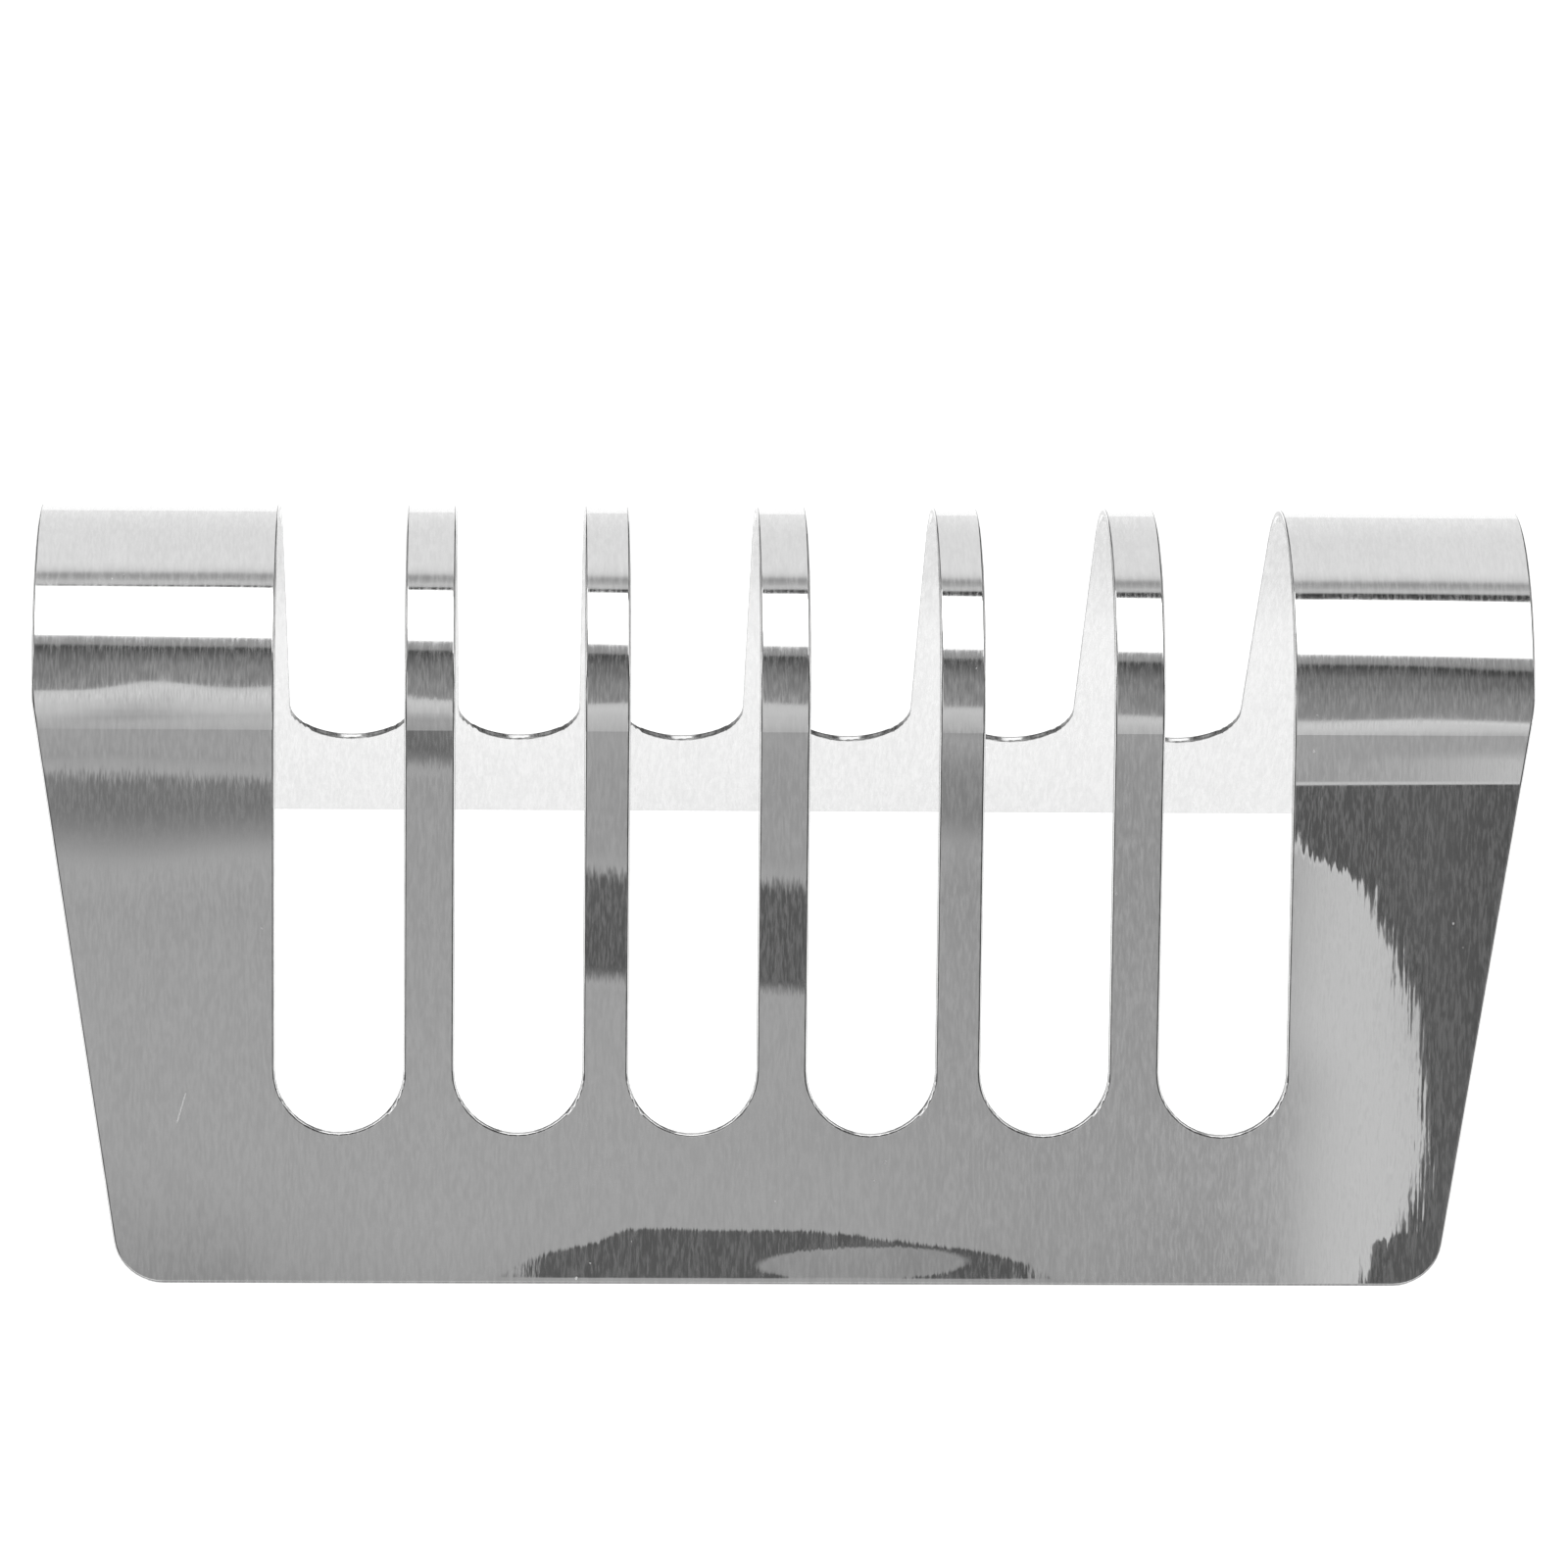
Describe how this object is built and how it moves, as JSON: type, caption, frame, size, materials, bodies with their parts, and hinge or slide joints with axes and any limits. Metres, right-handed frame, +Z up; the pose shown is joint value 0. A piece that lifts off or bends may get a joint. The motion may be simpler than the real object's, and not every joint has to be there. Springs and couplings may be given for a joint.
{
  "type": "toast rack",
  "caption": "Free-standing toast rack bent from one slotted sheet of polished stainless steel, with a round crest and two splayed legs.",
  "frame": {"origin": "the middle of the footprint, on the surface the rack stands on", "axes": "+X along the rack, across the slots; +Y from the front leg to the back leg; +Z up"},
  "size_m": [0.18, 0.0996, 0.0755],
  "materials": {
    "stainless_steel": "bright polished, with a fine grain running up the legs and over the crest"
  },
  "bodies": {
    "root": {"bent_steel_rack": "stainless_steel"}
  },
  "joints": []
}
